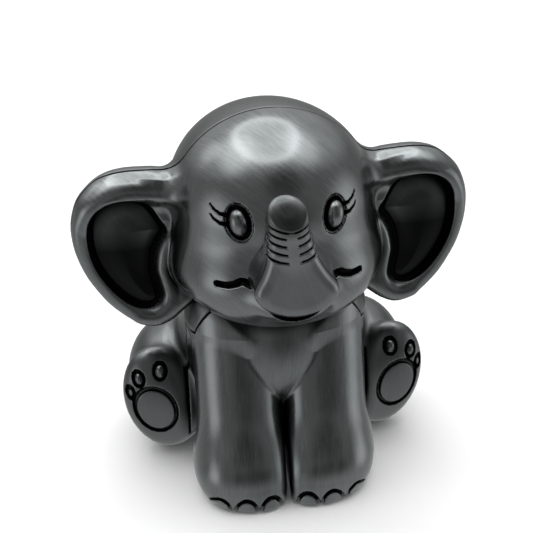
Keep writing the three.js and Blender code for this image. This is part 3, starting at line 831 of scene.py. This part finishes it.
def plane(name, corners, material):
    mesh = bpy.data.meshes.new(name)
    mesh.from_pydata(corners, [], [(0, 1, 2, 3)])
    mesh.materials.append(material)
    obj = bpy.data.objects.new(name, mesh)
    bpy.context.collection.objects.link(obj)
    return obj


floor_paint = Nodes("floor_paint")
floor_paint.shader.inputs["Base Color"].default_value = (0.9, 0.9, 0.9, 1)
floor_paint.shader.inputs["Roughness"].default_value = 0.6
# the floor is clear from below, so that the base can be seen
underside_seen = floor_paint.add("ShaderNodeNewGeometry").outputs["Backfacing"]
floor_paint.link(floor_paint.math("SUBTRACT", 1.0, underside_seen), floor_paint.shader.inputs["Alpha"])
HALF_FLOOR = 4.0
FLOOR_CORNERS = [(x * HALF_FLOOR, y * HALF_FLOOR, 0) for x, y in ((-1, -1), (1, -1), (1, 1), (-1, 1))]
floor = plane("floor", FLOOR_CORNERS, floor_paint.material)
floor.visible_glossy = False

world = bpy.data.worlds.new("studio")
world.use_nodes = True
bpy.context.scene.world = world
sky = world.node_tree


def sky_math(operation, *values):
    node = sky.nodes.new("ShaderNodeMath")
    node.operation = operation
    for slot, value in enumerate(values):
        if isinstance(value, (int, float)):
            node.inputs[slot].default_value = value
        else:
            sky.links.new(value, node.inputs[slot])
    return node.outputs[0]


def sky_step(value, low, high, to_low, to_high):
    """to_low below low, to_high above high, with a soft edge between."""
    node = sky.nodes.new("ShaderNodeMapRange")
    node.interpolation_type = "SMOOTHSTEP"
    for key, number in (("From Min", low), ("From Max", high), ("To Min", to_low), ("To Max", to_high)):
        node.inputs[key].default_value = number
    sky.links.new(value, node.inputs["Value"])
    return node.outputs["Result"]


def direction(azimuth, elevation):
    """Azimuth in degrees from the front of the bank, positive towards +X."""
    a, e = math.radians(azimuth), math.radians(elevation)
    return Vector((math.sin(a) * math.cos(e), -math.cos(a) * math.cos(e), math.sin(e)))


where = sky.nodes.new("ShaderNodeTexCoord").outputs["Generated"]


def along(axis):
    node = sky.nodes.new("ShaderNodeVectorMath")
    node.operation = "DOT_PRODUCT"
    sky.links.new(where, node.inputs[0])
    node.inputs[1].default_value = axis
    return node.outputs["Value"]


BOX_ROUNDNESS = 2.4                # 2 is an ellipse, more is squarer


def panel_light(azimuth, elevation, half_width, half_height, edge, middle, rim):
    """An oval soft box: how bright it is in the middle and in a band along its edge."""
    out = direction(azimuth, elevation)
    side = Vector((0, 0, 1)).cross(out).normalized()
    rise = out.cross(side)
    ahead = along(out)
    u = sky_math("DIVIDE", along(side), sky_math("MAXIMUM", ahead, 0.05))
    v = sky_math("DIVIDE", along(rise), sky_math("MAXIMUM", ahead, 0.05))
    u = sky_math("POWER", sky_math("ABSOLUTE", sky_math("DIVIDE", u, half_width)), BOX_ROUNDNESS)
    v = sky_math("POWER", sky_math("ABSOLUTE", sky_math("DIVIDE", v, half_height)), BOX_ROUNDNESS)
    r = sky_math("POWER", sky_math("ADD", u, v), 1 / BOX_ROUNDNESS)
    inside = sky_step(r, 1 - edge, 1 + edge, 1, 0)
    band = sky_step(r, 0.74, 0.92, middle, rim)
    return sky_math("MULTIPLY", sky_math("MULTIPLY", inside, band), sky_step(ahead, 0.05, 0.15, 0, 1))


# even grey room, a dark front with darker patches in it, a soft grey below, and soft boxes above and beside
room = sky_step(along(direction(5, 30)), 0.0, 0.8, ROOM_LIGHT, ROOM_FRONT)
for azimuth, elevation, reach, level in DARK_PATCHES:
    near = along(direction(azimuth, elevation))
    room = sky_math("MULTIPLY", room, sky_step(near, math.cos(math.radians(reach)), 1, 1, level))
below = sky_step(along((0, 0, -1)), -0.05, 0.7, 0, 1)
room = sky_math("ADD", sky_math("MULTIPLY", room, sky_math("SUBTRACT", 1.0, below)),
                sky_math("MULTIPLY", below, FLOOR_LIGHT))
total = room
for box in SOFT_BOXES:
    total = sky_math("ADD", total, panel_light(*box))
ray = sky.nodes.new("ShaderNodeLightPath")
seen = sky_math("MAXIMUM", total, sky_math("MULTIPLY", ray.outputs["Is Camera Ray"], 1.0))
sky.links.new(seen, sky.nodes["Background"].inputs["Strength"])
sky.nodes["Background"].inputs["Color"].default_value = (1, 1, 1, 1)

# fills the floor only, so that the metal is lit by the soft boxes alone
FILL_STRENGTH, FILL_SPREAD = 1.1, math.radians(120)
fill_data = bpy.data.lights.new("floor_fill", "SUN")
fill_data.energy = FILL_STRENGTH
fill_data.angle = FILL_SPREAD
fill = bpy.data.objects.new("floor_fill", fill_data)
fill.visible_glossy = False
bpy.context.collection.objects.link(fill)

bpy.context.scene.view_settings.view_transform = "Standard"
